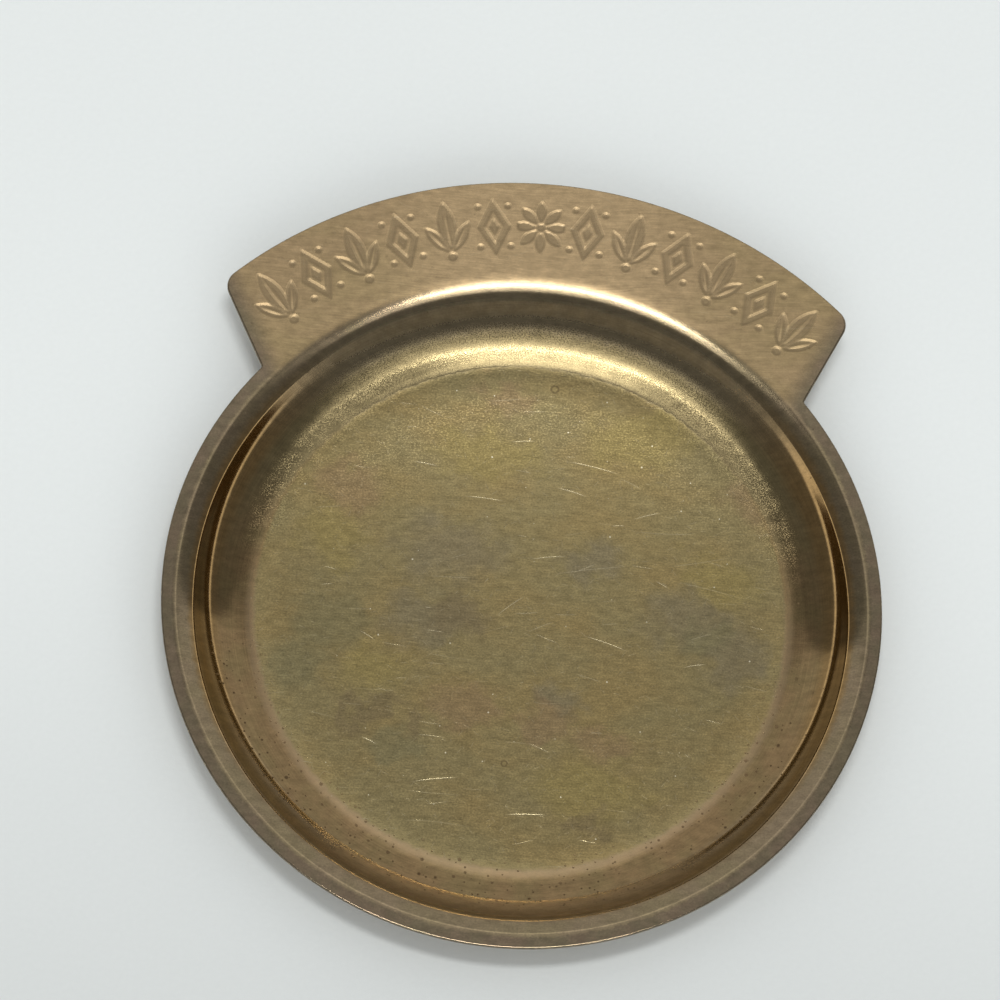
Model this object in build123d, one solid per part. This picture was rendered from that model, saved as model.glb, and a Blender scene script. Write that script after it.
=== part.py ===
from build123d import *
import math
import os

# A coin tray: one pressing of brass sheet, with a felt pad under its floor.
# Lengths are in millimetres and angles in degrees. The origin is the point of the resting
# plane under the dish's centre. +Z is up, and +Y points from the dish to the middle of the tab.

# Outline of the sheet, seen from above
rim_radius = 70.0
tab_reach = 18.4
tab_width = 124.0
tab_side_angle = 26.1
tab_corner_radius = 3.6
tab_root_radius = 0.6

# Section of the pressing, from the flat flange down to the flat floor. All of it is measured on
# the upper face: a shoulder, a short straight slope, a bowl-like wall and a tighter floor fillet.
sheet_thickness = 0.9
flange_width = 2.6
shoulder_radius = 5.1
slope_length = 1.4
wall_radius = 18.7
floor_fillet_radius = 6.7
steepest_angle = 52.0
wall_foot_angle = 35.0
edge_break = 0.2

# Felt pad
felt_thickness = 1.2
felt_margin = 3.0

# Cutting shapes run this far past what they cut
overrun = 5.0

steepest = math.radians(steepest_angle)
wall_foot = math.radians(wall_foot_angle)
well_mouth_radius = rim_radius - flange_width
well_run = (
    shoulder_radius * math.sin(steepest)
    + slope_length * math.cos(steepest)
    + wall_radius * (math.sin(steepest) - math.sin(wall_foot))
    + floor_fillet_radius * math.sin(wall_foot)
)
well_depth = (
    shoulder_radius * (1 - math.cos(steepest))
    + slope_length * math.sin(steepest)
    + wall_radius * (math.cos(wall_foot) - math.cos(steepest))
    + floor_fillet_radius * (1 - math.cos(wall_foot))
)
floor_radius = well_mouth_radius - well_run
underside_height = felt_thickness
floor_height = underside_height + sheet_thickness
flange_height = floor_height + well_depth
tab_radius = rim_radius + tab_reach


def section_arc(centre, radius, start_angle, end_angle):
    """An arc of the section, given by the slopes of its two ends. A negative radius curves upwards."""

    def at(angle):
        return (centre[0] - radius * math.sin(angle), centre[1] + radius * math.cos(angle))

    return ThreePointArc(at(start_angle), at((start_angle + end_angle) / 2), at(end_angle))


def face_line(offset, outer_radius):
    """One face of the sheet in section, from its outer edge in to the dish's axis.

    The offset is how far this face lies under the upper one, square to it.
    """
    fillet_centre = (floor_radius, floor_height + floor_fillet_radius)
    wall_centre = (
        fillet_centre[0] - (wall_radius - floor_fillet_radius) * math.sin(wall_foot),
        fillet_centre[1] + (wall_radius - floor_fillet_radius) * math.cos(wall_foot),
    )
    shoulder_centre = (well_mouth_radius, flange_height - shoulder_radius)
    shoulder = section_arc(shoulder_centre, shoulder_radius - offset, 0, steepest)
    wall = section_arc(wall_centre, -(wall_radius + offset), steepest, wall_foot)
    fillet_arc = section_arc(fillet_centre, -(floor_fillet_radius + offset), wall_foot, 0)
    return [
        Line((outer_radius, flange_height - offset), shoulder @ 0),
        shoulder,
        Line(shoulder @ 1, wall @ 0),
        wall,
        fillet_arc,
        Line(fillet_arc @ 1, (0, floor_height - offset)),
    ]


def pressed_sheet():
    """The pressing before it is trimmed: a sheet of one thickness, turned about the dish's axis."""
    outer_radius = tab_radius + overrun
    upper = face_line(0, outer_radius)
    lower = face_line(sheet_thickness, outer_radius)
    axis_side = Line((0, floor_height), (0, underside_height))
    outer_side = Line((outer_radius, flange_height), (outer_radius, flange_height - sheet_thickness))
    section = make_face(upper + [axis_side] + lower + [outer_side])
    return revolve(Plane.XZ * section, Axis.Z)


def trimmed_outline():
    """The round rim with the arched tab, whose straight sides draw in towards the dish."""
    corner_x = tab_width / 2
    corner_y = math.sqrt(tab_radius ** 2 - corner_x ** 2)
    side_slope = math.tan(math.radians(tab_side_angle))
    top_y = tab_radius + overrun
    foot_x = corner_x - corner_y * side_slope
    top_x = corner_x + (top_y - corner_y) * side_slope
    wedge = make_face(Polyline((-foot_x, 0), (foot_x, 0), (top_x, top_y), (-top_x, top_y), close=True))
    outline = Circle(rim_radius) + (Circle(tab_radius) & wedge)
    outline = fillet(corners(outline, tab_radius), tab_corner_radius)
    return fillet(corners(outline, rim_radius), tab_root_radius)


def corners(outline, radius):
    """The outline's corners on a circle about the dish's axis, without the seam on that circle."""
    tolerance = edge_break / 10
    return [
        vertex
        for vertex in outline.vertices()
        if abs(math.hypot(vertex.X, vertex.Y) - radius) < tolerance and abs(vertex.X) < radius - tolerance
    ]


def tray_pan():
    """The brass pressing, trimmed to its outline, with the sharp edges of the trimmed sheet broken."""
    trim = extrude(trimmed_outline(), flange_height + overrun)
    pan = pressed_sheet() & trim
    border = [edge for edge in pan.edges() if runs_along_border(edge)]
    return chamfer(border, edge_break)


def runs_along_border(edge):
    """Whether an edge lies on the trimmed border, above or below, and not up its side."""
    start = edge.position_at(0)
    middle = edge.position_at(0.5)
    level = abs(start.Z - middle.Z) < edge_break / 10
    outside = min(math.hypot(point.X, point.Y) for point in (start, middle)) > well_mouth_radius + edge_break
    return level and outside


def felt_pad():
    """The felt disc, stuck face to face to the flat part of the pressing's underside."""
    disc = Circle(floor_radius - felt_margin)
    return extrude(disc, felt_thickness)


os.makedirs("parts", exist_ok=True)
for name, solid in (("tray_pan", tray_pan()), ("felt_pad", felt_pad())):
    export_step(solid, "parts/" + name + ".step")
print("well depth", round(well_depth, 2), "mm, flat floor radius", round(floor_radius, 2), "mm")
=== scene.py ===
import math

import bpy
import numpy as np
from mathutils import Matrix, Vector, noise


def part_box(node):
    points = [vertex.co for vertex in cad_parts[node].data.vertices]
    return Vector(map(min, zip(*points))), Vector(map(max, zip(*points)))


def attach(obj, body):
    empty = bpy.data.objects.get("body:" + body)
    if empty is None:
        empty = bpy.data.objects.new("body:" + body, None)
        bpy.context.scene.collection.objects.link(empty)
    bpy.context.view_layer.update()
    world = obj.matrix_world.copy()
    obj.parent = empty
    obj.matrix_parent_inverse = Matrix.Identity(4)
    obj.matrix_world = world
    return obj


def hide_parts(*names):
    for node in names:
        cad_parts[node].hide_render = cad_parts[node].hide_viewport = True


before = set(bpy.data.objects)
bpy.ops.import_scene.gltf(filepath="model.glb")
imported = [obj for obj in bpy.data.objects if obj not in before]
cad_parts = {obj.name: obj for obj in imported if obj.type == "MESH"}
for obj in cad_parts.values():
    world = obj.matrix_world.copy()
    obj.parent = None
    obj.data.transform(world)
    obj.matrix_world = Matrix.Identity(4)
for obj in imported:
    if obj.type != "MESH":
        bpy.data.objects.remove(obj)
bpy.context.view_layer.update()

# Lengths are in metres, and MM is one millimetre. Named angles are written in degrees.
MM = 0.001

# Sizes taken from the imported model
pan_low, pan_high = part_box("tray_pan")
pad_low, pad_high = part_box("felt_pad")
rim_radius = -pan_low.y
tab_radius = pan_high.y
top_height = pan_high.z
lip_room = 0.01 * MM
face_height = top_height - lip_room
under_height = pan_low.z
pad_radius = pad_high.x

# The section of the pressing, as in the solid model
sheet_thickness = 0.9 * MM
flange_width = 2.6 * MM
shoulder_radius = 5.1 * MM
slope_length = 1.4 * MM
wall_radius = 18.7 * MM
floor_fillet_radius = 6.7 * MM
steepest = math.radians(52.0)
wall_foot = math.radians(35.0)

# The outline of the tab, as in the solid model
tab_width = 124.0 * MM
tab_side_angle = 26.1
tab_corner_radius = 3.6 * MM
tab_root_radius = 0.6 * MM
edge_round = 0.2 * MM

mouth_radius = rim_radius - flange_width
floor_height = under_height + sheet_thickness
flat_edge_radius = rim_radius - edge_round
tab_flat_radius = tab_radius - edge_round

# How far the well's side reaches in from its mouth to the fillet's foot
well_run = (
    shoulder_radius * math.sin(steepest)
    + slope_length * math.cos(steepest)
    + wall_radius * (math.sin(steepest) - math.sin(wall_foot))
    + floor_fillet_radius * math.sin(wall_foot)
)

# The sag of the floor: level inside its start, and this steep where it meets the fillet
sag_start = 46.0 * MM
sag_slope = math.radians(6.0)
sag_power = 1.8
sag_radius = mouth_radius - well_run + floor_fillet_radius * math.sin(sag_slope)
sag_height = floor_height + floor_fillet_radius * (1 - math.cos(sag_slope))

# Fineness of the pan's mesh
well_columns = 360
under_columns = 180
rim_step = 1.0
points_per_degree = 0.4
sag_rings = 14
relief_cell = 0.23 * MM
column_stretch = 1.15
plain_cell = 0.5 * MM
first_cell = 0.01 * MM
support_gap = 0.04 * MM
mouth_gap = 0.3 * MM

# The stamped ornament on the tab
band_radius = 78.9 * MM
band_half_height = 6.7 * MM
band_end_angle = 40.5
side_motifs = 6
relief_depth = 0.08 * MM
relief_bevel = 0.32 * MM
relief_edge = 0.55 * relief_bevel
lip_height = 0.008 * MM
lip_width = 0.14 * MM


def new_piece(name, points, faces):
    """An object with this mesh, in the scene."""
    mesh = bpy.data.meshes.new(name)
    mesh.from_pydata(points, [], faces)
    piece = bpy.data.objects.new(name, mesh)
    bpy.context.scene.collection.objects.link(piece)
    return piece


class Shell:
    """The points and faces of one closed skin, gathered ring by ring.

    Rings run anticlockwise seen from above. The skin is swept from the middle of its underside
    out to the border, over it, and back in to the middle of its top, so that every face looks outwards.
    """

    def __init__(self):
        self.points = []
        self.faces = []

    def ring(self, points):
        """Adds points and returns their numbers."""
        start = len(self.points)
        self.points.extend(points)
        return list(range(start, len(self.points)))

    def band(self, before, after, closed=True):
        """Quads between two rings of as many points."""
        count = len(before) if closed else len(before) - 1
        for i in range(count):
            k = (i + 1) % len(before)
            self.faces.append((before[i], before[k], after[k], after[i]))

    def azimuth(self, point):
        return math.atan2(self.points[point][1], self.points[point][0])

    def turns(self, ring, shift):
        """How far round each point lies from the first, and a whole turn at the end, shifted."""
        start = self.azimuth(ring[0])
        turns = [(self.azimuth(point) - start) % (2 * math.pi) for point in ring] + [2 * math.pi]
        return [turn + shift for turn in turns]

    def seam(self, before, after):
        """Triangles between two closed rings with different counts, matched by azimuth."""
        start = self.azimuth(before[0])
        first = min(range(len(after)), key=lambda k: abs(self.azimuth(after[k]) - start))
        after = after[first:] + after[:first]
        turns_before = self.turns(before, 0.0)
        turns_after = self.turns(after, self.azimuth(after[0]) - start)
        i = 0
        j = 0
        while i < len(before) or j < len(after):
            here = before[i % len(before)]
            there = after[j % len(after)]
            if j == len(after) or (i < len(before) and turns_before[i + 1] <= turns_after[j + 1]):
                self.faces.append((here, before[(i + 1) % len(before)], there))
                i += 1
            else:
                self.faces.append((here, after[(j + 1) % len(after)], there))
                j += 1

    def fan(self, ring, height):
        """Triangles from a ring to the middle. They look up if the ring runs anticlockwise."""
        centre = self.ring([(0.0, 0.0, height)])[0]
        for i in range(len(ring)):
            self.faces.append((ring[i], ring[(i + 1) % len(ring)], centre))

    def make(self, name):
        piece = new_piece(name, self.points, self.faces)
        piece.data.validate()
        piece.data.shade_smooth()
        return piece


def at_polar(radius, azimuth, height):
    return (radius * math.cos(azimuth), radius * math.sin(azimuth), height)


def circle(radius, height, count):
    """Points evenly spaced on a level circle about the dish's axis."""
    return [at_polar(radius, 2 * math.pi * i / count, height) for i in range(count)]


def smooth_step(value, low, high):
    """0 below low, 1 above high, and a smooth curve between."""
    share = np.clip((value - low) / (high - low), 0, 1)
    return share * share * (3 - 2 * share)


def section_points(offset):
    """The pan's face from the well's mouth in to the floor's edge, as (radius, height).

    The offset is how far this face lies under the upper one, square to it.
    """
    fillet_x = mouth_radius - well_run
    fillet_z = floor_height + floor_fillet_radius
    wall_x = fillet_x - (wall_radius - floor_fillet_radius) * math.sin(wall_foot)
    wall_z = fillet_z + (wall_radius - floor_fillet_radius) * math.cos(wall_foot)
    arcs = [
        (mouth_radius, top_height - shoulder_radius, shoulder_radius - offset, 0.0, steepest),
        (wall_x, wall_z, -(wall_radius + offset), steepest, wall_foot),
        (fillet_x, fillet_z, -(floor_fillet_radius + offset), wall_foot, 0.0),
    ]
    points = []
    for x, z, radius, start, end in arcs:
        count = max(3, round(abs(math.degrees(end - start)) * points_per_degree))
        first = 1 if points and start == wall_foot else 0
        for i in range(first, count + 1):
            angle = start + (end - start) * i / count
            points.append((x - radius * math.sin(angle), z + radius * math.cos(angle)))
    return points


def sagging_floor():
    """The floor from its edge in to the middle, which lies a little lower."""
    drop = (sag_radius - sag_start) * math.tan(sag_slope) / (sag_power + 1)
    points = []
    for i in range(1, sag_rings + 1):
        share = 1 - i / sag_rings
        height = sag_height - drop * (1 - share ** (sag_power + 1))
        points.append((sag_start + (sag_radius - sag_start) * share, height))
    bottom = points[-1][1]
    for share in (0.97, 0.9, 0.8, 0.68, 0.56, 0.43, 0.3, 0.18, 0.08):
        points.append((sag_start * share, bottom))
    return points


class TabSide:
    """The tab's right side in plan: root fillet, straight side and corner fillet, in from the cut edge."""

    def __init__(self, inset):
        self.inset = inset
        angle = math.radians(tab_side_angle)
        self.along = Vector((math.sin(angle), math.cos(angle)))
        self.outward = Vector((math.cos(angle), -math.sin(angle)))
        corner_x = tab_width / 2
        corner = Vector((corner_x, math.sqrt(tab_radius ** 2 - corner_x ** 2)))
        self.reach = self.outward.dot(corner)
        self.root = self.on_side(self.reach + tab_root_radius, rim_radius + tab_root_radius)
        self.corner = self.on_side(self.reach - tab_corner_radius, tab_radius - tab_corner_radius)
        flat_reach = self.reach - inset
        self.side_start = math.hypot(flat_reach, self.root.dot(self.along))
        self.side_end = math.hypot(flat_reach, self.corner.dot(self.along))

    def on_side(self, reach, radius):
        """The point on this circle that lies this far out, square to the side."""
        return self.outward * reach + self.along * math.sqrt(radius ** 2 - reach ** 2)

    def crossing(self, radius, centre, arc_radius, sense):
        """Where an arc crosses a circle about the dish's axis."""
        far = centre.length
        share = (radius ** 2 + far ** 2 - arc_radius ** 2) / (2 * radius * far)
        azimuth = math.atan2(centre.y, centre.x) + sense * math.acos(min(1.0, share))
        return Vector((radius * math.cos(azimuth), radius * math.sin(azimuth)))

    def at(self, radius):
        """The inset outline's point at this radius, and its outward normal."""
        if radius < self.side_start:
            point = self.crossing(radius, self.root, tab_root_radius + self.inset, 1)
            return point, (self.root - point).normalized()
        if radius < self.side_end:
            return self.on_side(self.reach - self.inset, radius), self.outward
        point = self.crossing(radius, self.corner, tab_corner_radius - self.inset, -1)
        return point, (point - self.corner).normalized()


def tab_ring_radii():
    """Radii of the tab's rings, from the rim's flat edge out, closest where the outline curves most."""
    steps = math.ceil((plain_cell / first_cell + 1) / 2)
    start = [first_cell * step ** 2 for step in range(1, steps)]
    low = band_radius - band_half_height
    high = band_radius + band_half_height
    inner = [flat_edge_radius + s for s in start if flat_edge_radius + s < low]
    outer = [tab_flat_radius - s for s in reversed(start) if tab_flat_radius - s > high]
    radii = [flat_edge_radius] + inner
    radii += spread(radii[-1], low, plain_cell)
    radii += spread(low, high, relief_cell)
    radii += spread(high, outer[0], plain_cell)
    return radii + outer[1:] + [tab_flat_radius]


def spread(low, high, cell):
    """Even steps from low, which is left out, to high, none over one cell long."""
    count = max(1, math.ceil((high - low) / cell))
    return [low + (high - low) * (i + 1) / count for i in range(count)]


def vesica(x, y, half_width, half_height):
    """Signed distance to an upright pointed leaf shape."""
    radius = (half_height ** 2 + half_width ** 2) / (2 * half_width)
    side = radius - half_width
    return np.maximum(np.hypot(x - side, y), np.hypot(x + side, y)) - radius


def lozenge(x, y, half_width, half_height):
    """Signed distance to an upright lozenge."""
    scale = half_width * half_height / math.hypot(half_width, half_height)
    return (np.abs(x) / half_width + np.abs(y) / half_height - 1) * scale


def turned(x, y, degrees):
    """The coordinates seen from a frame turned anticlockwise."""
    c = math.cos(math.radians(degrees))
    s = math.sin(math.radians(degrees))
    return x * c + y * s, y * c - x * s


def sprig(x, y):
    """Three pointed leaves with raised ribs, over a bead. Lengths in millimetres."""
    leaf = vesica(x, y - 1.1, 1.75, 5.2)
    rib = vesica(x, y - 0.7, 0.34, 3.6)
    shape = np.maximum(leaf, -rib)
    for side in (-1, 1):
        lx, ly = turned(x - side * 2.45, y + 1.5, -side * 34)
        small = vesica(lx, ly, 1.15, 3.5)
        small_rib = vesica(lx, ly, 0.26, 2.2)
        shape = np.minimum(shape, np.maximum(small, -small_rib))
    return np.minimum(shape, np.hypot(x, y + 5.5) - 0.85)


def framed_lozenge(x, y):
    """A lozenge frame round a small lozenge, with four beads. Lengths in millimetres."""
    frame_shape = np.maximum(lozenge(x, y, 3.3, 6.0), -lozenge(x, y, 1.9, 3.5))
    shape = np.minimum(frame_shape, lozenge(x, y, 0.95, 1.8))
    for side in (-1, 1):
        for end in (-1, 1):
            shape = np.minimum(shape, np.hypot(x - side * 3.0, y - end * 4.3) - 0.6)
    return shape


def rosette(x, y):
    """Eight petals round a bead. Lengths in millimetres."""
    shape = np.hypot(x, y) - 0.8
    for i in range(8):
        px, py = turned(x, y, i * 45)
        shape = np.minimum(shape, vesica(px, py - 3.3, 0.95, 2.2))
    return shape


def ornament_distance(x, y):
    """Signed distance in metres to the band of stamped shapes on the tab, negative inside them."""
    radius = np.hypot(x, y)
    azimuth = np.degrees(np.arctan2(x, y))
    step = band_end_angle / side_motifs
    place = np.clip(np.round(azimuth / step), -side_motifs, side_motifs)
    turn = np.radians(azimuth - place * step)
    local_x = radius * np.sin(turn) / MM
    local_y = (radius * np.cos(turn) - band_radius) / MM
    number = np.abs(place)
    shape = np.where(number % 2 == 1, framed_lozenge(local_x, local_y), sprig(local_x, local_y))
    return np.where(number == 0, rosette(local_x, local_y), shape) * MM


def stamped(x, y):
    """(height change, recessed share, edge share) of the tab's face at these places."""
    distance = ornament_distance(x, y)
    recess = 1 - smooth_step(distance, -relief_bevel / 2, relief_bevel / 2)
    lip = np.exp(-(((distance - relief_bevel / 2) / lip_width) ** 2))
    edge = np.exp(-((distance / relief_edge) ** 2))
    return lip_height * lip - relief_depth * recess, recess, edge


def tab_columns(flank):
    """Azimuths of the columns up the tab's right side, across its top and down its left side."""
    *right, start = [math.atan2(point.y, point.x) for point, _ in flank]
    span = math.pi - 2 * start
    count = math.ceil(span * band_radius / (relief_cell * column_stretch))
    top = [start + span * i / count for i in range(count + 1)]
    left = [math.pi - azimuth for azimuth in reversed(right)]
    return right, top, left


def tray_mesh():
    """The whole pressing as one closed skin, with the ornament stamped into the tab."""
    shell = Shell()
    side = TabSide(edge_round)
    radii = tab_ring_radii()
    flank = [side.at(radius) for radius in radii]
    right, top, left = tab_columns(flank)
    last = len(radii) - 1
    rim_span = 2 * math.pi - (left[-1] - right[0])
    rim_count = round(math.degrees(rim_span) / rim_step)
    rim = [left[-1] + rim_span * i / rim_count for i in range(1, rim_count)]
    columns = right + top + left + rim

    def round_border(turns, radius):
        normals = [Vector((math.cos(turn), math.sin(turn))) for turn in turns]
        return [(normal * radius, normal) for normal in normals]

    # The border in plan, one point and one outward normal to each column
    flank.pop()
    other_flank = [(Vector((-p.x, p.y)), Vector((-out.x, out.y))) for p, out in reversed(flank)]
    border = flank + round_border(top, tab_flat_radius) + other_flank + round_border(rim, flat_edge_radius)

    # The underside, from the middle out
    under_top = top_height - sheet_thickness
    under = section_points(sheet_thickness)[::-1]
    floor_steps = [under[0][0] * share for share in (0.12, 0.3, 0.5, 0.7, 0.88)]
    rings = [shell.ring(circle(radius, under_height, under_columns)) for radius in floor_steps]
    shell.fan(rings[0][::-1], under_height)
    rings += [shell.ring(circle(radius, height, under_columns)) for radius, height in under]
    rings.append(shell.ring(circle(mouth_radius + flange_width / 3, under_top, under_columns)))
    for before, after in zip(rings, rings[1:]):
        shell.band(before, after)

    # The cut edge
    quarter = [math.radians(degrees) for degrees in (0, 30, 60, 90)]
    quarter = [(edge_round * math.sin(turn), edge_round * (1 - math.cos(turn))) for turn in quarter]
    steps = [(out, under_top + rise) for out, rise in quarter]
    steps += [(out, face_height - rise) for out, rise in reversed(quarter[1:])]
    loops = []
    for out, height in steps:
        loops.append(shell.ring([(*(point + normal * out), height) for point, normal in border]))
    shell.seam(rings[-1], loops[0])
    for before, after in zip(loops, loops[1:]):
        shell.band(before, after)

    # The top face of the tab, ring by ring inwards
    ring_points = []
    for k, radius in enumerate(radii):
        turns = np.array(right[k:] + top + (left[: len(left) - k] if k else left))
        x = radius * np.cos(turns)
        y = radius * np.sin(turns)
        rise, _, _ = stamped(x, y)
        rise = np.where(abs(radius - band_radius) < band_half_height, rise, 0)
        ring_points.append(shell.ring(list(zip(x, y, face_height + rise))))
    rim_ring = shell.ring([at_polar(flat_edge_radius, azimuth, face_height) for azimuth in rim])
    for k in range(last):
        inner = ring_points[k]
        outer = ring_points[k + 1]
        shell.band(outer, inner[1:-1], closed=False)
        shell.faces.append((inner[0], outer[0], inner[1]))
        shell.faces.append((inner[-2], outer[-1], inner[-1]))
    top_loop = [ring_points[k][0] for k in range(last)] + ring_points[last]
    top_loop += [ring_points[k][-1] for k in range(last - 1, -1, -1)] + rim_ring
    shell.band(loops[-1], top_loop)

    # The rim's flat, then the well
    ring = ring_points[0] + rim_ring
    for inset in [support_gap] + spread(support_gap, flange_width - edge_round - mouth_gap, plain_cell):
        radius = flat_edge_radius - inset
        following = shell.ring([at_polar(radius, azimuth, face_height) for azimuth in columns])
        shell.band(ring, following)
        ring = following
    upper = [point for point in section_points(0.0) if point[0] > sag_radius]
    upper += sagging_floor()
    rings = [shell.ring(circle(radius, height, well_columns)) for radius, height in upper]
    shell.seam(ring, rings[0])
    for before, after in zip(rings, rings[1:]):
        shell.band(before, after)
    shell.fan(rings[-1], upper[-1][1])

    piece = shell.make("brass_tray")
    write_stamp(piece, shell.points, [number for loop in loops for number in loop])
    return piece


def write_stamp(piece, points, border):
    """Stores the places of the finish: the tab's stamped recesses and their edges, and the cut border."""
    x, y, z = np.array(points, np.float32).astype(float).T
    _, recess, edge = stamped(x, y)
    on_top = z > top_height - sheet_thickness / 2
    on_band = (np.abs(np.hypot(x, y) - band_radius) < band_half_height) & on_top
    cut = np.isin(np.arange(len(points)), border)
    for name, values in (("recess", recess * on_band), ("edge", edge * on_band), ("border", cut)):
        attribute = piece.data.attributes.new(name, "FLOAT", "POINT")
        attribute.data.foreach_set("value", values.astype(np.float32))


millimetres = (1 / MM, 1 / MM, 1 / MM)


class Nodes:
    """Makes shader nodes in one tree, with short calls that return output sockets."""

    def __init__(self, tree):
        self.tree = tree
        tree.nodes.clear()

    def add(self, kind, inputs=(), **settings):
        made = self.tree.nodes.new("ShaderNode" + kind)
        for name, value in settings.items():
            setattr(made, name, value)
        for key, value in dict(inputs).items():
            socket = made.inputs[key]
            if isinstance(value, bpy.types.NodeSocket):
                self.tree.links.new(value, socket)
            else:
                socket.default_value = value
        return made

    def math(self, operation, *values):
        return self.add("Math", enumerate(values), operation=operation).outputs[0]

    def vector(self, operation, *values):
        made = self.add("VectorMath", enumerate(values), operation=operation)
        return made.outputs["Value" if operation in ("LENGTH", "DISTANCE", "DOT_PRODUCT") else 0]

    def sum(self, *values):
        total = values[0]
        for value in values[1:]:
            total = self.math("ADD", total, value)
        return total

    def weighed(self, base, *terms):
        """A number plus some values, each times its weight."""
        return self.sum(base, *[self.times(value, weight) for value, weight in terms])

    def times(self, a, b):
        return self.math("MULTIPLY", a, b)

    def minus(self, a, b):
        return self.math("SUBTRACT", a, b)

    def most(self, *values):
        """The largest of some numbers."""
        largest = values[0]
        for value in values[1:]:
            largest = self.math("MAXIMUM", largest, value)
        return largest

    def size(self, value):
        """A number without its sign."""
        return self.math("ABSOLUTE", value)

    def ramp(self, value, low, high, start=0.0, end=1.0):
        """Start below low, end above high, and a smooth curve between."""
        inputs = {"Value": value, "From Min": low, "From Max": high, "To Min": start, "To Max": end}
        return self.add("MapRange", inputs, interpolation_type="SMOOTHSTEP").outputs[0]

    def fade(self, value, low, high):
        """1 below low, 0 above high, and a smooth curve between."""
        return self.ramp(value, low, high, 1.0, 0.0)

    def scaled(self, vector, factors):
        return self.vector("MULTIPLY", vector, factors)

    def split(self, vector):
        return self.add("SeparateXYZ", {0: vector}).outputs

    def joined(self, x, y, z=0.0):
        return self.add("CombineXYZ", {0: x, 1: y, 2: z}).outputs[0]

    def cells(self, place, cell):
        """The nearest scattered cell's distance, colour and position."""
        inputs = {"Vector": place, "Scale": 1 / cell}
        return self.add("TexVoronoi", inputs, voronoi_dimensions="2D").outputs

    def noise(self, vector, scale, detail, roughness):
        inputs = {"Vector": vector, "Scale": scale, "Detail": detail, "Roughness": roughness}
        return self.add("TexNoise", inputs).outputs["Fac"]

    def mix(self, share, a, b):
        """A number between two others."""
        return self.sum(a, self.times(share, self.minus(b, a)))

    def gray(self, value):
        return self.add("CombineColor", {0: value, 1: value, 2: value}).outputs[0]

    def blend(self, share, a, b, way="MIX"):
        return self.add("Mix", {0: share, 6: a, 7: b}, data_type="RGBA", blend_type=way).outputs[2]

    def shaded(self, color, value):
        """A colour times a number."""
        return self.blend(1.0, color, self.gray(value), "MULTIPLY")

    def tint(self, color, layers):
        """A colour under layers, from the lowest up: where each lies, its share and its tone."""
        for where, share, tone in layers:
            color = self.blend(self.times(where, share), color, tone)
        return color

    def bump(self, height, distance):
        return self.add("Bump", {"Height": height, "Distance": distance, "Strength": 1.0}).outputs[0]

    def surface(self, **inputs):
        """A principled shader as the tree's surface. An underscore in a name stands for a space."""
        named = {name.replace("_", " "): value for name, value in inputs.items()}
        shader = self.add("BsdfPrincipled", named)
        self.add("OutputMaterial", {"Surface": shader.outputs[0]})


def material(name):
    made = bpy.data.materials.new(name)
    made.use_nodes = True
    return made, Nodes(made.node_tree)


scratch_bend = 0.35
hairline_bend = 0.09
hairline_core = 0.02
hairline_reach = 0.085


def scratches(n, place, cell, length, width, spread_degrees, keep, seed):
    """Short, thin, slightly bent marks, at most one in each cell of the plane. Returns their strength."""
    moved = n.vector("ADD", place, (seed, seed * 0.7, 0))
    cells = n.cells(moved, cell)
    x, y, _ = n.split(n.vector("SUBTRACT", moved, cells["Position"]))
    turn, luck, extent = n.add("SeparateColor", {0: cells["Color"]}).outputs
    angle = n.times(n.minus(turn, 0.5), math.radians(2 * spread_degrees))
    c = n.math("COSINE", angle)
    s = n.math("SINE", angle)
    along = n.sum(n.times(x, c), n.times(y, s))
    across = n.minus(n.times(y, c), n.times(x, s))
    bend = n.times(n.minus(luck, 0.5), scratch_bend / length)
    bent = n.sum(across, n.times(bend, n.times(along, along)))
    thin = n.fade(n.size(bent), width * 0.4, width)
    reach = n.times(length / 2, n.weighed(0.35, (extent, 0.65)))
    short = n.fade(n.math("DIVIDE", n.size(along), reach), 0.5, 1.0)
    kept = n.math("GREATER_THAN", n.math("FRACT", n.times(luck, 7.3)), 1 - keep)
    return n.times(n.times(thin, short), kept)


def hairline(n, place, x, y, length, degrees):
    """One thin, slightly bent mark through a point. Returns its strength."""
    offset = n.vector("SUBTRACT", place, (x, y, 0))
    c = math.cos(math.radians(degrees))
    s = math.sin(math.radians(degrees))
    along = n.vector("DOT_PRODUCT", offset, (c, s, 0))
    across = n.vector("DOT_PRODUCT", offset, (-s, c, 0))
    bent = n.sum(across, n.times(n.times(along, along), hairline_bend / length))
    thin = n.fade(n.size(bent), hairline_core, hairline_reach)
    return n.times(thin, n.fade(n.size(along), length * 0.2, length * 0.5))


def spots(n, place, middles):
    """The strongest of some soft ovals, each (x, y, half width, half height)."""
    strengths = []
    for x, y, half_width, half_height in middles:
        offset = n.vector("SUBTRACT", place, (x, y, 0))
        share = n.scaled(offset, (1 / half_width, 1 / half_height, 0))
        strengths.append(n.fade(n.vector("LENGTH", share), 0.3, 1.0))
    return n.most(*strengths)


def stain_ring(n, place, x, y, radius, width):
    """A thin ring round a point."""
    reach = n.vector("DISTANCE", place, (x, y, 0))
    return n.fade(n.size(n.minus(reach, radius)), 0.3 * width, width)


def pits(n, place, cell, size, keep, seed):
    """Round dark specks of mixed sizes, at most one in each cell. Returns their share."""
    cells = n.cells(n.vector("ADD", place, (seed, seed, 0)), cell)
    chance = n.add("SeparateColor", {0: cells["Color"]}).outputs
    reach = n.times(size, n.weighed(0.35, (chance[1], 0.65)))
    inside = n.fade(n.math("DIVIDE", n.times(cells["Distance"], cell), reach), 0.45, 1.0)
    return n.times(inside, n.math("GREATER_THAN", chance[0], 1 - keep))


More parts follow.
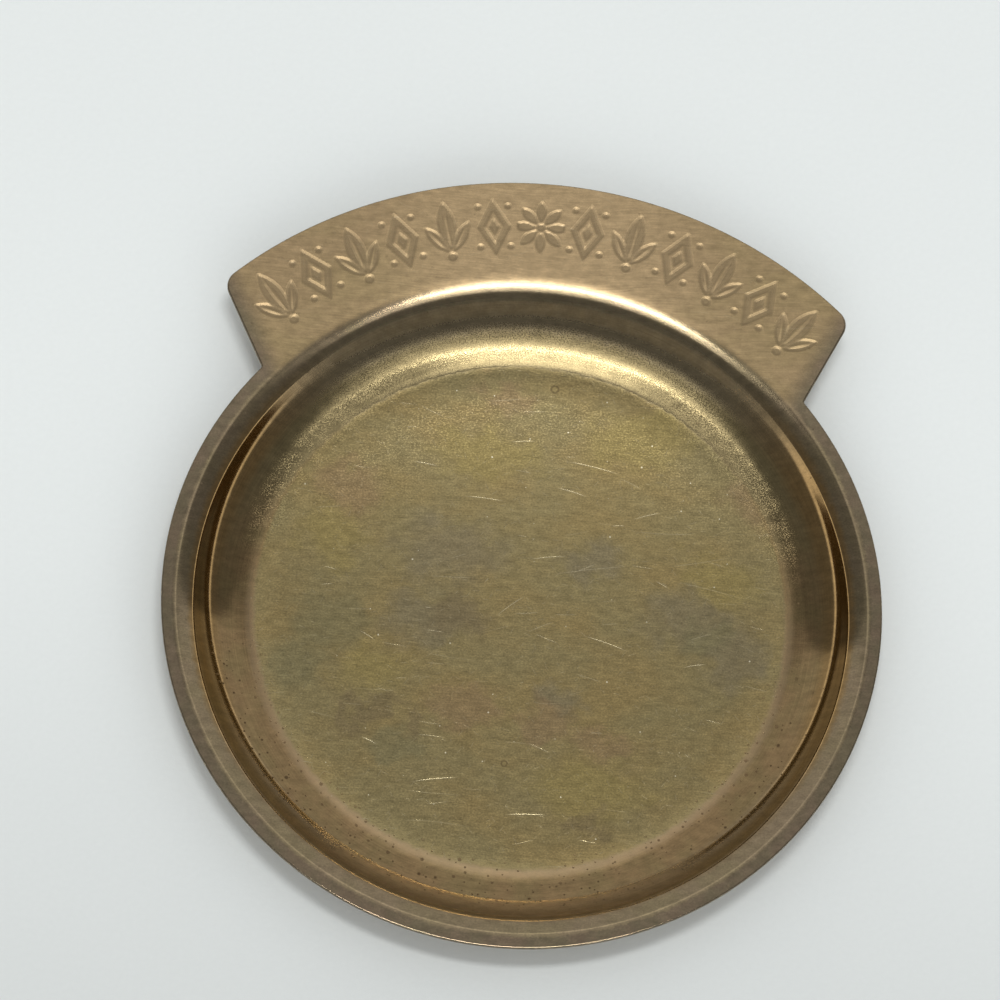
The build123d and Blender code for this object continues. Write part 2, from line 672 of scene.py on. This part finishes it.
# Ovals of the floor's soft stains, each (x, y, half width, half height) in millimetres, and below them
# each stain's share and tone, from the lowest up
gold = [
    (-38, 14, 9, 9), (-28, -12, 10, 8), (22, 38, 16, 9), (38, 10, 10, 9), (-8, 33, 15, 7), (15, -35, 18, 8),
]
grey = [
    (-14, 13, 15, 11), (-18, -1, 13, 8), (33, 1, 12, 10), (42, -6, 8, 9), (13, 12, 9, 6), (9, -17, 8, 5),
]
green = [(-36, -3, 12, 9), (-42, -12, 7, 10), (36, -3, 8, 6), (-24, -28, 8, 5)]
rose = [
    (-5, 45, 10, 5), (45, 27, 8, 9), (17, -25, 10, 4), (-9, -20, 11, 5), (6, -21, 7, 5), (-34, 25, 9, 6),
]
brown = [(-28, -20, 8, 2.6), (-32, -23, 3, 5), (-20, -23, 3, 4), (15, -41, 8, 4), (-12, 0, 8, 6)]
stains = [
    (gold, 0.80, (0.40, 0.315, 0.125, 1)),
    (grey, 0.70, (0.295, 0.246, 0.148, 1)),
    (green, 0.65, (0.288, 0.252, 0.132, 1)),
    (rose, 0.60, (0.375, 0.260, 0.140, 1)),
    (brown, 0.60, (0.265, 0.205, 0.110, 1)),
]

# Ring-shaped stains, each (x, y, radius, width) in millimetres
stain_rings = [(4.7, 47.9, 0.72, 0.3), (-1.7, -30.5, 0.55, 0.26)]

# Single hair scratches on the floor, each (x, y, length, degrees from the X axis), in millimetres
hairlines = [
    (-1, 36.5, 5.5, 6), (13, 32, 12, -11), (18.4, 20, 3, 4), (27.5, 8.3, 3.2, -28),
    (17, -4.5, 10.5, -17), (5, 12.5, 8, 9), (-37.5, 7.4, 3, -12), (-38, 4, 2.6, 8),
    (-29.5, -6, 4, -30), (-15, -34.5, 10.5, 9), (-28, -27.5, 4, -24), (-8, 24, 9, -4),
    (9, 26.5, 7, -14), (34.5, -8, 5, 12), (3, -40.5, 9, 3), (24, 22.5, 6.5, 18),
    (-20, 30.5, 5.5, -8), (-2, 2, 7.5, 40),
]

# Where the brass changes, in millimetres from the axis, and for tab_side square to the tab's side. A
# pair is a soft edge. Four are a band that rises over the first two and falls over the last two.
floor_end = (51.7, 52.9)
brushing_end = (44.0, 52.5)
shoulder_start = (63.8, 65.4)
flange_start = (67.3, 68.1)
tab_start = (66.4, 67.6)
tab_side = (23.0, 28.2)
fillet_band = (51.7, 52.9, 58.0, 60.5)
lower_polish_band = (50.0, 54.2, 59.0, 63.0)
upper_polish_band = (64.2, 65.4, 67.0, 69.4)
far_wall_band = (60.4, 62.4, 63.2, 65.2)
near_wall_band = (58.2, 59.4, 62.6, 64.0)
# The band of a painted sheen: a lighter ring painted at the floor's edge, on the near side only
painted_floor_edge_sheen_band = (51.2, 52.2, 52.8, 54.2)
pitted_band = (48.0, 51.5, 59.5, 62.0)
sparkling_band = (46.0, 51.5, 57.0, 59.5)
far_floor_band = (18.0, 52.0, 56.0, 61.0)
gritty_band = (45.0, 53.0, 57.0, 60.0)


class BrassFinish:
    """The colours, roughness and small relief of the aged brass. All lengths are in millimetres."""

    def __init__(self, n):
        self.n = n
        self.place = n.scaled(n.add("TexCoord").outputs["Object"], millimetres)
        self.x, self.y, _ = n.split(self.place)
        self.flat = n.joined(self.x, self.y)
        self.radius = n.vector("LENGTH", self.flat)
        self.ahead = n.math("DIVIDE", self.y, n.most(self.radius, 1.0))
        self.zones()
        self.textures()
        self.wear()

    def noise(self, across, along, detail=2.0, roughness=0.5, shift=0.0):
        """Noise with features this far apart along X and Y."""
        n = self.n
        moved = n.vector("ADD", self.flat, (shift, shift, 0))
        return n.noise(n.scaled(moved, (1 / across, 1 / along, 0)), 1.0, detail, roughness)

    def between(self, value, band):
        """1 between the band's middle two values, and 0 outside its outer two."""
        n = self.n
        return n.times(n.ramp(value, *band[:2]), n.fade(value, *band[2:]))

    def part(self, band, share):
        """This band of radii, where the share is."""
        return self.n.times(self.between(self.radius, band), share)

    def zones(self):
        """Shares of the floor, fillet, shoulder, flange and tab, and of parts with their own polish."""
        n = self.n
        ragged = n.weighed(self.radius, (n.minus(self.noise(2.2, 2.2, 4.0, 0.7), 0.5), 1.6))
        self.floor = n.fade(ragged, *floor_end)
        self.fillet = self.between(ragged, fillet_band)
        self.shoulder = n.ramp(ragged, *shoulder_start)
        self.flange = n.ramp(ragged, *flange_start)
        side = math.radians(tab_side_angle)
        beside = n.sum(n.times(n.size(self.x), math.cos(side)), n.times(self.y, -math.sin(side)))
        self.tab = n.times(n.fade(beside, *tab_side), n.ramp(self.radius, *tab_start))
        self.tab = n.times(self.tab, n.math("GREATER_THAN", self.y, 0.0))
        far_side = n.ramp(self.ahead, 0.42, 0.86)
        self.lower_polish = self.part(lower_polish_band, far_side)
        self.upper_polish = self.part(upper_polish_band, far_side)
        self.far_wall = self.part(far_wall_band, n.ramp(self.ahead, 0.55, 0.95))
        self.near_wall = self.part(near_wall_band, n.fade(self.ahead, -0.90, -0.72))
        self.brushing = n.fade(self.radius, *brushing_end)
        # Painted sheen: a lighter band at the floor's edge, on the near side only
        self.painted_floor_edge_sheen = n.times(self.between(ragged, painted_floor_edge_sheen_band), n.fade(self.ahead, -0.1, 0.3))
        self.edge = n.add("Attribute", attribute_name="edge").outputs["Fac"]
        above = n.ramp(n.split(n.add("TexCoord").outputs["Normal"])[2], -0.9, -0.5)
        self.border = n.times(n.add("Attribute", attribute_name="border").outputs["Fac"], above)

    def textures(self):
        """Noise fields: the brushing along X, the speckle, and the turning lines round the well."""
        n = self.n
        bent = n.weighed(self.y, (n.minus(self.noise(60, 45), 0.5), 9.0))
        self.brushed = n.joined(self.x, bent)
        self.grain = n.noise(n.scaled(self.brushed, (0.16, 3.6, 0)), 1.0, 3.0, 0.62)
        self.fine_grain = n.noise(n.scaled(self.brushed, (0.8, 6.5, 0)), 1.0, 2.0, 0.6)
        self.speckle = self.noise(0.40, 0.32, 2.0, 0.7, 7.0)
        self.cloud = self.noise(2.6, 1.4, 2.0, 0.6, 29.0)
        around = n.joined(n.times(self.radius, 6.0), n.times(self.x, 0.05), n.times(self.y, 0.05))
        self.turning = n.noise(around, 1.0, 3.0, 0.6)

    def wear(self):
        """Scratches, specks and pits, gathered as shares."""
        n = self.n
        long_marks = scratches(n, self.brushed, 19.0, 15.0, 0.07, 12, 0.6, 3.1)
        marks = scratches(n, self.flat, 8.0, 6.0, 0.07, 26, 0.55, 11.7)
        short_marks = scratches(n, self.flat, 2.2, 2.0, 0.06, 75, 0.75, 23.3)
        nicks = scratches(n, self.flat, 9.0, 1.2, 0.085, 90, 0.2, 31.9)
        strongest = n.most(n.times(long_marks, 0.7), n.times(marks, 0.8), n.times(short_marks, 0.55), nicks)
        worn_patch = n.ramp(self.noise(13, 9, 2.0, 0.5, 40.0), 0.35, 0.6, 0.3, 1.0)
        worn = n.most(self.floor, n.times(self.tab, 0.5))
        self.scratch = n.times(n.times(strongest, worn_patch), worn)
        self.hairline = n.most(*[hairline(n, self.flat, *mark) for mark in hairlines])
        self.dot = n.times(pits(n, self.flat, 7.5, 0.24, 0.42, 57.0), self.floor)

        foot = self.part(pitted_band, n.fade(self.ahead, -0.30, -0.05))
        pit_field = n.ramp(self.noise(11, 11, 2.0, 0.5, 80.0), 0.34, 0.52, 0.4, 1.0)
        small_pits = pits(n, self.flat, 1.5, 0.32, 0.48, 5.0)
        large_pits = pits(n, self.flat, 3.4, 0.52, 0.42, 9.0)
        few_pits = pits(n, self.flat, 7.0, 0.36, 0.5, 41.0)
        pit = n.times(n.most(small_pits, large_pits), n.times(foot, n.ramp(pit_field, 0.35, 0.75)))
        self.pit = n.most(pit, n.times(few_pits, n.weighed(0.35, (foot, 0.5))))

        sides = self.between(self.ahead, (0.05, 0.4, 0.8, 0.95))
        rubbed = self.part(sparkling_band, sides)
        rubbed = n.times(rubbed, n.ramp(self.noise(2.6, 2.6, 3.0, 0.6, 66.0), 0.34, 0.56, 0.35, 1.0))
        fleck = self.noise(0.30, 0.24, 3.0, 0.7, 77.0)
        self.sparkle = n.times(n.ramp(fleck, 0.48, 0.60), rubbed)

    def color(self):
        n = self.n
        grain, speckle = self.grain, self.speckle
        wall = n.minus(1.0, n.most(self.floor, self.shoulder))
        shade = n.weighed(0.03, (grain, 0.52), (self.fine_grain, 0.30), (speckle, 1.10))
        shade = n.mix(self.shoulder, shade, n.weighed(0.60, (speckle, 0.80)))
        shade = n.mix(self.tab, shade, n.weighed(0.50, (grain, 0.70), (speckle, 0.40)))
        shade = n.mix(wall, shade, n.weighed(0.45, (self.turning, 0.60), (speckle, 0.50)))
        shade = n.times(shade, n.weighed(0.64, (self.cloud, 0.72)))
        recess = n.add("Attribute", attribute_name="recess").outputs["Fac"]
        nick = n.ramp(n.noise(n.scaled(self.place, (0.9, 0.9, 2.0)), 1.0, 2.0, 0.6), 0.60, 0.68)
        rings = [stain_ring(n, self.flat, *ring) for ring in stain_rings]
        layers = [
            # The first layer is painted sheen, a lighter band at the near side of the floor's edge; the
            # rest are the brass's own marks
            (self.painted_floor_edge_sheen, 0.50, (0.46, 0.335, 0.20, 1)),
            (recess, 0.55, (0.33, 0.245, 0.14, 1)),
            (self.edge, 0.50, (0.27, 0.20, 0.115, 1)),
            (self.border, 0.80, (0.25, 0.21, 0.15, 1)),
            (n.times(self.border, nick), 0.60, (0.62, 0.53, 0.38, 1)),
            (n.most(self.scratch, self.hairline), 0.50, (0.85, 0.75, 0.52, 1)),
            (self.dot, 0.70, (0.85, 0.78, 0.6, 1)),
            (n.most(*rings), 0.50, (0.13, 0.09, 0.045, 1)),
            (self.pit, 0.80, (0.12, 0.075, 0.04, 1)),
        ]
        return n.tint(n.shaded(self.patina_and_sheen(), shade), layers)

    def clouded(self, across, along, roughness, shift, one, other):
        """Two tones of one zone, in soft clouds."""
        cloud = self.noise(across, along, 3.0, roughness, shift)
        return self.n.blend(self.n.ramp(cloud, 0.35, 0.65), one, other)

    def patina_and_sheen(self):
        """The tone of each zone and the floor's soft stains, with painted light: a lighter sheen on the
        tab's middle, and reflection tints that change the fillet's and wall's tone by side.
        """
        n = self.n
        drift = n.add("TexNoise", {"Vector": self.flat, "Scale": 0.16, "Detail": 3.0}).outputs["Color"]
        warp = n.scaled(n.vector("SUBTRACT", drift, (0.5, 0.5, 0.5)), (16, 16, 0))
        warped = n.vector("ADD", self.flat, warp)
        mottle = n.ramp(self.noise(21, 14, 3.0, 0.55, 12.0), 0.35, 0.68)
        floor = n.blend(mottle, (0.355, 0.287, 0.138, 1), (0.385, 0.290, 0.128, 1))
        floor = n.tint(floor, [(spots(n, warped, ovals), share, tone) for ovals, share, tone in stains])
        fillet = self.clouded(9, 9, 0.6, 3.0, (0.415, 0.28, 0.14, 1), (0.385, 0.28, 0.135, 1))
        # Painted highlight tint: the fillet's far side, where the lamp's highlight lies, gets a more olive
        # tone
        fillet = n.blend(n.ramp(self.ahead, 0.1, 0.6), fillet, (0.385, 0.305, 0.155, 1))
        shoulder = self.clouded(14, 14, 0.6, 6.0, (0.41, 0.315, 0.20, 1), (0.395, 0.315, 0.185, 1))
        flange = self.clouded(8, 8, 0.6, 36.0, (0.285, 0.215, 0.145, 1), (0.25, 0.205, 0.13, 1))
        tab = self.clouded(26, 12, 0.55, 17.0, (0.48, 0.345, 0.19, 1), (0.465, 0.345, 0.18, 1))
        # Painted sheen: the middle of the tab is painted lighter
        tab = n.blend(n.fade(n.size(self.x), 12.0, 42.0), tab, (0.585, 0.425, 0.235, 1))
        # Painted reflection tints: the wall's far, side and near parts get different tones to match what
        # each reflects
        wall = n.blend(n.ramp(self.ahead, 0.45, 0.85), (0.415, 0.27, 0.115, 1), (0.37, 0.30, 0.185, 1))
        wall = n.blend(n.fade(self.ahead, -0.7, -0.3), wall, (0.375, 0.275, 0.16, 1))
        made = n.blend(self.floor, wall, floor)
        made = n.blend(self.fillet, made, fillet)
        made = n.blend(self.shoulder, made, shoulder)
        made = n.blend(self.flange, made, flange)
        return n.blend(self.tab, made, tab)

    def roughness(self):
        """The wall's roughness under layers, from the lowest up: where each lies and its roughness."""
        n = self.n
        smooth_grain = n.ramp(self.noise(0.28, 0.14, 2.0, 0.6, 91.0), 0.45, 0.57)
        far_floor = self.part(far_floor_band, n.ramp(self.ahead, -0.1, 0.6))
        specked = n.times(self.floor, n.weighed(0.2, (far_floor, 0.55)))
        layers = [
            (self.floor, n.weighed(0.10, (self.grain, 0.045))),
            (self.shoulder, 0.10),
            (self.far_wall, 0.42),
            (self.near_wall, 0.36),
            (self.lower_polish, n.mix(smooth_grain, 0.37, 0.19)),
            (self.upper_polish, n.mix(smooth_grain, 0.27, 0.155)),
            (self.tab, n.weighed(0.215, (self.grain, 0.06))),
            (n.times(n.ramp(self.speckle, 0.50, 0.64), specked), 0.27),
            (self.sparkle, 0.31),
            (n.times(self.scratch, 0.6), 0.20),
            (n.times(self.hairline, 0.85), 0.25),
            (self.dot, 0.24),
            (self.edge, 0.50),
            (self.border, 0.45),
            (self.pit, 0.32),
        ]
        made = 0.075
        for share, value in layers:
            made = n.mix(share, made, value)
        return made

    def polish(self):
        """How much further the finish spreads a highlight across its fine lines than along them."""
        n = self.n
        brushed = n.times(self.brushing, n.ramp(self.y, 2.0, 44.0, 0.0, 0.85))
        share = n.most(self.lower_polish, self.upper_polish, brushed)
        return n.times(share, n.minus(1.0, self.sparkle))

    def lines(self):
        """The way the fine lines run: along X on the floor, and round the axis elsewhere."""
        around = self.n.add("Tangent", direction_type="RADIAL", axis="Z").outputs[0]
        return self.n.blend(self.floor, around, (1, 0, 0, 1))

    def normal(self):
        n = self.n
        waves = n.times(self.noise(15, 15, 1.0, 0.4, 63.0), 0.02)
        brushing = n.sum(n.times(self.grain, 0.0014), n.times(self.fine_grain, 0.0007))
        rubbed = self.part(gritty_band, n.ramp(self.ahead, -0.15, 0.25))
        grit = n.times(self.noise(0.5, 0.5, 3.0, 0.65, 71.0), n.sum(n.times(rubbed, 0.0045), 0.0008))
        marks = n.weighed(n.times(self.scratch, -0.004), (self.hairline, -0.004), (self.pit, -0.006))
        return n.bump(n.sum(waves, brushing, grit, marks), MM)


def brass_material():
    """Aged satin brass, brushed along X, with patina, pits, hair scratches and worn edges, and painted
    sheen and reflection tints in places.
    """
    made, n = material("aged_brass")
    finish = BrassFinish(n)
    n.surface(
        Base_Color=finish.color(),
        Metallic=1.0,
        Roughness=finish.roughness(),
        Normal=finish.normal(),
        Anisotropic=finish.polish(),
        Anisotropic_Rotation=0.25,
        Tangent=finish.lines(),
    )
    return made


def floor_material():
    """Pale matt cloth board, with painted shade that makes it a little darker towards the near side."""
    made, n = material("pale_floor")
    place = n.add("TexCoord").outputs["Object"]
    # Painted shade: the cloth's colour darkens towards the near side
    tone = n.ramp(n.split(place)[1], -0.13, 0.05)
    color = n.blend(tone, (0.665, 0.695, 0.685, 1), (0.83, 0.87, 0.86, 1))
    fibres = n.noise(n.scaled(place, (900, 900, 0)), 1.0, 3.0, 0.6)
    cloudy = n.noise(n.scaled(place, (14, 14, 0)), 1.0, 2.0, 0.5)
    color = n.shaded(color, n.weighed(0.955, (fibres, 0.05), (cloudy, 0.04)))
    n.surface(Base_Color=color, Roughness=0.9, Normal=n.bump(fibres, 0.05 * MM))
    return made


felt_tones = ((0.047, 0.033, 0.023), (0.118, 0.087, 0.062))


def felt_material(name, lightness):
    """Pressed wool felt: matted fibres in every direction, a little uneven in tone."""
    made, n = material(name)
    place = n.scaled(n.add("TexCoord").outputs["Object"], millimetres)
    warp = n.add("TexNoise", {"Vector": place, "Scale": 0.9, "Detail": 3.0}).outputs["Color"]
    bent = n.vector("ADD", place, n.scaled(warp, (2.5, 2.5, 2.5)))
    strands = []
    for degrees in (15, 75, 135):
        turn = {"Vector": bent, "Angle": math.radians(degrees)}
        along = n.add("VectorRotate", turn, rotation_type="Z_AXIS").outputs[0]
        strands.append(n.noise(n.scaled(along, (1.2, 9.0, 5.0)), 1.0, 2.0, 0.6))
    strand = n.most(*strands)
    matted = n.noise(place, 0.35, 3.0, 0.6)
    dust = n.ramp(n.noise(place, 3.2, 2.0, 0.6), 0.68, 0.74)
    dark, pale = [(*(lightness * c for c in tone), 1) for tone in felt_tones]
    color = n.shaded(n.blend(n.ramp(strand, 0.46, 0.74), dark, pale), n.weighed(0.62, (matted, 0.76)))
    n.surface(
        Base_Color=n.tint(color, [(dust, 0.35, (0.24, 0.20, 0.16, 1))]),
        Roughness=0.95,
        Normal=n.bump(n.sum(n.times(strand, 0.10), n.times(matted, 0.12)), MM),
        Sheen_Weight=0.35,
        Sheen_Roughness=0.5,
        Sheen_Tint=(0.75, 0.62, 0.5, 1),
        Specular_IOR_Level=0.2,
    )
    return made


# The felt's mesh, cut edge, nap and loose fibres
felt_columns = 480
felt_ring_gap = 0.9 * MM
felt_edge_round = 0.30 * MM
felt_wobble = 0.09 * MM
felt_bulge = 0.05 * MM
nap_height = 0.05 * MM
felt_lift = 0.02 * MM
fibre_width = 0.035 * MM
fibre_tip = 0.35
fibre_root = 0.08 * MM
fibre_clearance = 0.03 * MM
fibre_seed = 11
edge_fibres = 1100
face_fibres = 1500


def felt_edge(azimuth):
    """The cut edge's distance from the axis at this azimuth."""
    waves = ((0.5, 5, 0.7), (0.3, 17, 2.0), (0.2, 41, 0.0))
    wave = sum(height * math.sin(count * azimuth + shift) for height, count, shift in waves)
    return pad_radius - felt_wobble * (1 + wave)


def nap(x, y):
    """How far the felt's underside lies above its lowest point here."""
    fine = noise.noise((x / (0.9 * MM), y / (0.9 * MM), 3.0))
    broad = noise.noise((x / (5.0 * MM), y / (5.0 * MM), 8.0))
    return nap_height * (0.5 + 0.35 * fine + 0.35 * broad)


def felt_ring(inset, height=None):
    """A ring this far in from the cut edge, on the napped underside or at a height."""
    points = []
    for i in range(felt_columns):
        azimuth = 2 * math.pi * i / felt_columns
        x, y, _ = at_polar(felt_edge(azimuth) - inset, azimuth, 0.0)
        level = pad_low.z + felt_lift + nap(x, y) if height is None else height
        points.append((x, y, level))
    return points


def felt_piece():
    """The felt disc, from the middle of its underside round the cut edge to the middle of its top."""
    shell = Shell()
    gaps = np.arange(pad_radius - 2 * felt_ring_gap, felt_edge_round * 1.5, -felt_ring_gap)
    rings = [shell.ring(felt_ring(float(gap))) for gap in gaps]
    middle = pad_low.z + felt_lift + nap_height / 2
    shell.fan(rings[0][::-1], middle)
    for degrees in (0, 25, 50, 75):
        turn = math.radians(degrees)
        inset = felt_edge_round * (1 - math.sin(turn))
        rings.append(shell.ring(felt_ring(inset, middle + felt_edge_round * (1 - math.cos(turn)))))
    for share in (0.45, 0.62, 0.80, 0.95, 1.0):
        inset = felt_bulge * abs(share - 0.7)
        rings.append(shell.ring(felt_ring(inset, pad_low.z + (pad_high.z - pad_low.z) * share)))
    for share in (0.1, 0.5, 0.95):
        rings.append(shell.ring(felt_ring(pad_radius * share, pad_high.z)))
    for before, after in zip(rings, rings[1:]):
        shell.band(before, after)
    shell.fan(rings[-1], pad_high.z)
    return shell.make("felt_disc")


def add_fibre(points, faces, path):
    """A thin three-sided tube along a path, with pointed ends."""
    start = len(points)
    for i, place in enumerate(path):
        width = fibre_width / 2 * (fibre_tip if i in (0, len(path) - 1) else 1.0)
        for k in range(3):
            turn = 2 * math.pi * k / 3
            points.append((place[0] + width * math.cos(turn), place[1], place[2] + width * math.sin(turn)))
    for i in range(len(path) - 1):
        for k in range(3):
            a = start + 3 * i + k
            b = start + 3 * i + (k + 1) % 3
            faces.append((a, b, b + 3, a + 3))


def felt_fibres():
    """Loose fibres along the cut edge and on the underside, each a short bent tube."""
    draw = np.random.default_rng(fibre_seed).uniform
    points = []
    faces = []
    for _ in range(edge_fibres):
        azimuth = draw(0, 2 * math.pi)
        lean = draw(-1.2, 1.2)
        length = draw(0.35, 0.95) * MM
        level = pad_low.z + draw(0.12, 0.85) * (pad_high.z - pad_low.z)
        rise = draw(-0.15, 0.25)
        curl = draw(-1.0, 1.0)
        x, y, _ = at_polar(felt_edge(azimuth) - fibre_root, azimuth, 0.0)
        path = [(x, y, level)]
        for step in range(4):
            heading = azimuth + lean + curl * step / 3
            x += length / 4 * math.cos(heading)
            y += length / 4 * math.sin(heading)
            level = max(level + rise * length / 4, pad_low.z + fibre_clearance)
            path.append((x, y, level))
        add_fibre(points, faces, path)
    for _ in range(face_fibres):
        azimuth = draw(0, 2 * math.pi)
        away = pad_radius * math.sqrt(draw(0, 0.96))
        heading = draw(0, 2 * math.pi)
        curl = draw(-1.6, 1.6)
        length = draw(0.8, 2.2) * MM
        x, y, _ = at_polar(away, azimuth, 0.0)
        path = []
        for step in range(5):
            path.append((x, y, pad_low.z + felt_lift + nap(x, y)))
            heading += curl / 4
            x += length / 4 * math.cos(heading)
            y += length / 4 * math.sin(heading)
        add_fibre(points, faces, path)
    return new_piece("felt_fibres", points, faces)


floor_reach = 4.0


def floor_plane():
    signs = ((-1, -1), (1, -1), (1, 1), (-1, 1))
    corners = [(x * floor_reach, y * floor_reach, 0) for x, y in signs]
    piece = new_piece("studio_floor", corners, [(0, 1, 2, 3)])
    piece.data.materials.append(floor_material())


# The room as the tray mirrors it. A place in the room is the level part (x, y) of the direction to it.
# The room is dark behind and beside the tray and paler ahead of it, past an edge that bends away at
# both sides. A dim pool lies ahead of the overhead lamp, a bright panel just past the edge's middle,
# and a pale band along the horizon except straight ahead.
dark_level = 0.165
pale_level = 0.46
edge_rise = 0.13
edge_bend = 0.20
edge_blur = (-0.02, 0.03)
pool_place = (0.041, 0.309, 0)
pool_reach = (0.045, 0.14)
pool_level = 0.50
panel_place = (0.044, 0.394, 0)
panel_reach = (0.0, 0.085)
panel_level = 0.50
horizon_height = (0.06, 0.10)
horizon_side = (0.70, 0.88)
horizon_level = 1.0
diffuse_level = 0.57


def studio_world():
    """The soft studio. Rays that light matt surfaces see one even level."""
    world = bpy.data.worlds.new("studio")
    bpy.context.scene.world = world
    world.use_nodes = True
    n = Nodes(world.node_tree)
    x, y, z = n.split(n.add("TexCoord").outputs["Generated"])
    level_part = n.joined(x, y)
    edge = n.math("SQRT", n.sum(n.times(n.times(z, z), edge_rise), n.times(n.times(x, x), edge_bend)))
    ahead = n.ramp(n.minus(y, edge), *edge_blur)
    pool = n.ramp(n.vector("DISTANCE", level_part, pool_place), *pool_reach, pool_level, 0.0)
    panel = n.ramp(n.vector("DISTANCE", level_part, panel_place), *panel_reach, panel_level, 0.0)
    level = n.most(n.mix(ahead, dark_level, pale_level), pool)
    level = n.sum(level, n.times(panel, ahead))
    facing = n.math("DIVIDE", y, n.most(n.vector("LENGTH", level_part), 0.001))
    band = n.times(n.fade(z, *horizon_height), n.fade(facing, *horizon_side))
    level = n.mix(band, level, horizon_level)
    level = n.mix(n.add("LightPath").outputs["Is Diffuse Ray"], level, diffuse_level)
    shader = n.add("Background", {"Color": n.gray(level), "Strength": 1.0})
    n.add("OutputWorld", {"Surface": shader.outputs[0]})


lamp_distance = 2.0


def soft_lamp(name, toward, width, depth, level, shows=True):
    """A soft rectangular lamp aimed at the tray. Its level is what a white floor facing it would show."""
    toward = Vector(toward).normalized()
    across = (Vector((1, 0, 0)) - toward * toward.x).normalized()
    light = bpy.data.lights.new(name, "AREA")
    light.shape = "RECTANGLE"
    light.size = width
    light.size_y = depth
    light.energy = level * math.pi * math.pi * lamp_distance ** 2
    lamp = bpy.data.objects.new(name, light)
    turn = Matrix((across, toward.cross(across), toward)).transposed().to_4x4()
    lamp.matrix_world = Matrix.Translation(toward * lamp_distance) @ turn
    lamp.visible_glossy = shows
    bpy.context.scene.collection.objects.link(lamp)


camera_aim = Vector((-5.40 * MM, 20.60 * MM, top_height))
camera_distance = 1.1954
camera_azimuth = 6.03
camera_elevation = 69.08
camera_roll = 9.36
camera_lens = 220.8
camera_sensor = 36


def photo_camera():
    """The camera at the photograph's viewing angle."""
    heading = Matrix.Rotation(-math.radians(camera_azimuth), 4, "Z")
    tilt = Matrix.Rotation(math.radians(90 - camera_elevation), 4, "X")
    roll = Matrix.Rotation(math.radians(camera_roll), 4, "Z")
    away = Matrix.Translation((0, 0, camera_distance))
    settings = bpy.data.cameras.new("photo_camera")
    settings.sensor_width = camera_sensor
    settings.lens = camera_lens
    camera = bpy.data.objects.new("photo_camera", settings)
    camera.matrix_world = Matrix.Translation(camera_aim) @ heading @ tilt @ roll @ away
    bpy.context.scene.collection.objects.link(camera)
    bpy.context.scene.camera = camera


tray = tray_mesh()
tray.data.materials.append(brass_material())
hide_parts("tray_pan")
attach(tray, "root")

felt = felt_piece()
felt.data.materials.append(felt_material("brown_felt", 1.0))
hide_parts("felt_pad")
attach(felt, "root")
fibres = felt_fibres()
fibres.data.materials.append(felt_material("felt_fibre", 2.2))
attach(fibres, "root")

floor_plane()
studio_world()
soft_lamp("overhead", toward=(0.022, 0.030, 1.0), width=0.56, depth=0.24, level=0.30)
soft_lamp("fill", toward=(0.25, -1.5, 1.0), width=2.4, depth=1.2, level=0.24, shows=False)
photo_camera()
bpy.context.scene.view_settings.view_transform = "Standard"
